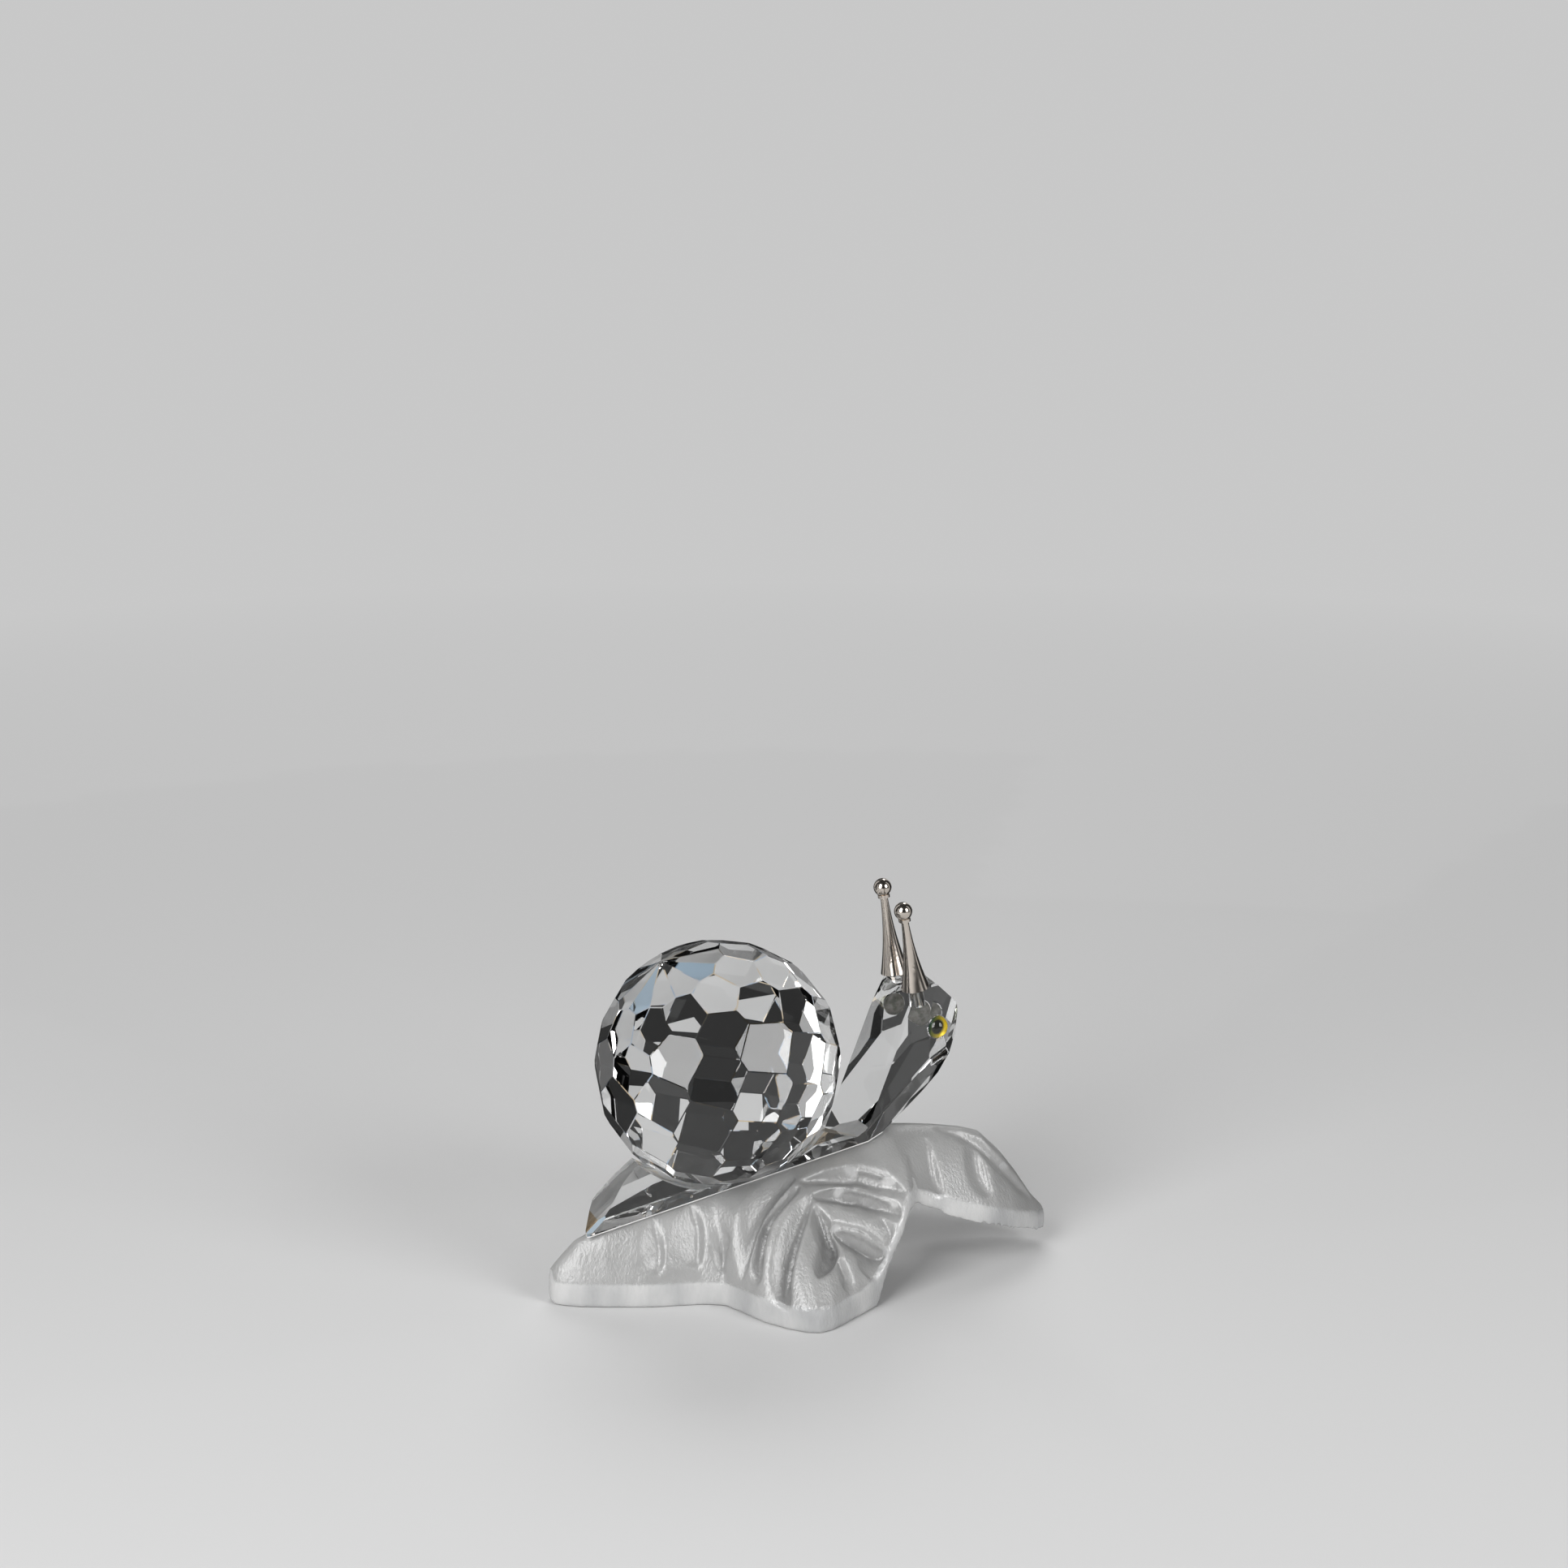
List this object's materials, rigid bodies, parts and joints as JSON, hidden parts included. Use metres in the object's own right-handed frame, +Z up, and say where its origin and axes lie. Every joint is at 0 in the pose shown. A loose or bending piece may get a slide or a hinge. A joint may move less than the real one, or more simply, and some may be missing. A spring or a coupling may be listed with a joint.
{
  "type": "animal figurine",
  "caption": "Cut-crystal snail with a faceted ball for a shell, metal horns and glass eyes, creeping up a draped frosted glass leaf.",
  "frame": {"origin": "on the surface the leaf rests on, under the middle of the part's bounding box", "axes": "+X the way the snail faces, along the leaf; +Y the snail's left; +Z up"},
  "size_m": [0.0566, 0.0322, 0.0431],
  "materials": {
    "clear_crystal": "cut and polished clear crystal",
    "frosted_glass": "satin frosted glass",
    "polished_metal": "bright plated, slightly warm",
    "eye_glass": "yellow-green glass with a dark centre",
    "clear_adhesive": "clear cured adhesive"
  },
  "bodies": {
    "root": {"shell_ball": "clear_crystal", "snail_body": "clear_crystal", "leaf": "frosted_glass", "right_horn": "polished_metal", "left_horn": "polished_metal", "right_eye": "eye_glass", "left_eye": "eye_glass", "shell_bond": "clear_adhesive", "sole_bond": "clear_adhesive", "right_horn_bond": "clear_adhesive", "left_horn_bond": "clear_adhesive", "right_eye_bond": "clear_adhesive", "left_eye_bond": "clear_adhesive"}
  },
  "joints": []
}
